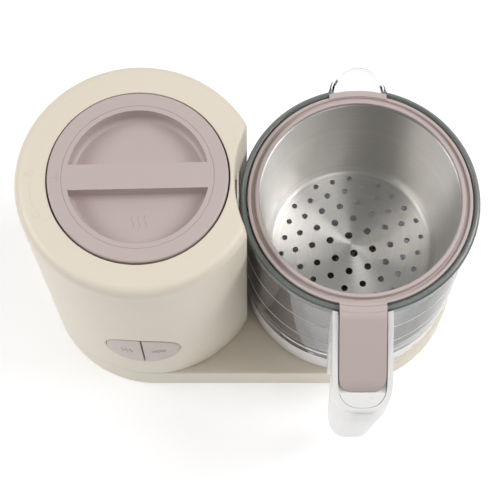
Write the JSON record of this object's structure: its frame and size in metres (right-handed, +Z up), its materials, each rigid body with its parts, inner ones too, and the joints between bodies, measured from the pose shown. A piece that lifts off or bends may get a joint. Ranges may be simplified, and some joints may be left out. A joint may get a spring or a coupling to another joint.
{
  "type": "baby food maker",
  "caption": "Countertop steamer-blender: boiler column with twist-off lid and two buttons, and a glass jug holding a perforated steel basket, on one long base.",
  "frame": {"origin": "on the surface that the feet stand on, under the middle of the whole machine's box", "axes": "+X from the boiler column towards the jug, -Y towards the front, where the buttons and the jug's handle are, +Z up"},
  "size_m": [0.307, 0.2374, 0.2298],
  "materials": {
    "cream_plastic": "fine satin moulding",
    "mauve_plastic": "satin moulding",
    "white_plastic": "semi-gloss moulding",
    "button_plastic": "satin moulding",
    "jug_glass": "clear pressed glass",
    "stainless_steel": "brushed round the axis",
    "cast_aluminium": "as cast",
    "copper_winding": "varnished winding",
    "black_rubber": "dull rubber",
    "silicone": "translucent white silicone",
    "black_plastic": "glass-filled moulding",
    "circuit_board": "solder mask"
  },
  "bodies": {
    "root": {"base_housing": "cream_plastic", "base_plate": "cream_plastic", "cord_gland": "black_rubber", "foot_1": "black_rubber", "foot_2": "black_rubber", "foot_3": "black_rubber", "foot_4": "black_rubber", "base_screw_1": "stainless_steel", "base_screw_2": "stainless_steel", "base_screw_3": "stainless_steel", "base_screw_4": "stainless_steel", "drive_belt": "black_rubber", "spindle_bearing": "cast_aluminium", "motor_bracket": "cast_aluminium", "motor_stator": "stainless_steel", "motor_end_cap": "black_plastic", "column_shell": "cream_plastic", "boiler_collar": "white_plastic", "tank_gasket": "silicone", "boiler_tank": "stainless_steel", "tank_clamp": "cast_aluminium", "heater_plate": "cast_aluminium", "heater_element": "stainless_steel", "thermostat": "black_plastic", "steam_duct": "silicone", "steam_nozzle": "silicone", "button_frame": "black_plastic", "control_board": "circuit_board", "power_board": "circuit_board"},
    "lid_core": {"lid_seal": "silicone", "lid_seal_plate": "stainless_steel"},
    "lid_top": {"lid_bayonet": "white_plastic", "lid_grip": "mauve_plastic", "lid_cap": "mauve_plastic"},
    "jug": {"jug_glass": "jug_glass", "jug_ring": "white_plastic", "jug_gasket": "silicone", "blade_housing": "black_plastic", "blade_lock_nut": "white_plastic", "blade_seal": "silicone", "jug_handle": "white_plastic", "handle_cover": "white_plastic"},
    "blades": {"blade_spindle": "stainless_steel", "blade": "stainless_steel", "blade_nut": "stainless_steel", "jug_coupler": "black_plastic"},
    "basket": {"steam_basket": "stainless_steel", "basket_ring": "mauve_plastic", "basket_handle": "mauve_plastic"},
    "drive": {"driven_pulley": "black_plastic", "drive_spindle": "stainless_steel", "drive_coupler": "black_plastic"},
    "motor_rotor": {"motor_shaft": "stainless_steel", "motor_armature": "copper_winding", "cooling_fan": "black_plastic", "motor_pulley": "black_plastic"},
    "steam_push": {"steam_button": "button_plastic"},
    "blend_push": {"blend_button": "button_plastic"}
  },
  "joints": [
    {"name": "lid_lift", "type": "slide", "parent": "root", "child": "lid_core", "axis": [0, 0, 1], "range_m": [0, 0.1]},
    {"name": "lid_twist", "type": "hinge", "parent": "lid_core", "child": "lid_top", "pos_m": [-0.073, 0.02225, 0.21], "axis": [0, 0, 1], "range_deg": [0, 27]},
    {"name": "jug_lift", "type": "slide", "parent": "root", "child": "jug", "axis": [0, 0, 1], "range_m": [0, 0.21]},
    {"name": "basket_lift", "type": "slide", "parent": "jug", "child": "basket", "axis": [0, 0, 1], "range_m": [0, 0.11]},
    {"name": "motor_spin", "type": "hinge", "parent": "root", "child": "motor_rotor", "pos_m": [-0.073, 0.02225, 0.06], "axis": [0, 0, 1], "continuous": true},
    {"name": "drive_spin", "type": "hinge", "parent": "root", "child": "drive", "pos_m": [0.073, 0.02225, 0.018], "axis": [0, 0, 1], "continuous": true},
    {"name": "blade_spin", "type": "hinge", "parent": "jug", "child": "blades", "pos_m": [0.073, 0.02225, 0.06], "axis": [0, 0, 1], "continuous": true},
    {"name": "steam_press", "type": "slide", "parent": "root", "child": "steam_push", "axis": [0.0488, 0.9988, 0], "range_m": [0, 0.0015], "stiffness_N_per_m": 1500},
    {"name": "blend_press", "type": "slide", "parent": "root", "child": "blend_push", "axis": [0.0488, 0.9988, 0], "range_m": [0, 0.0015], "stiffness_N_per_m": 1500}
  ],
  "couplings": [
    {"joint": "drive_spin", "follows": "motor_spin", "ratio": 0.33333},
    {"joint": "blade_spin", "follows": "motor_spin", "ratio": 0.33333}
  ]
}
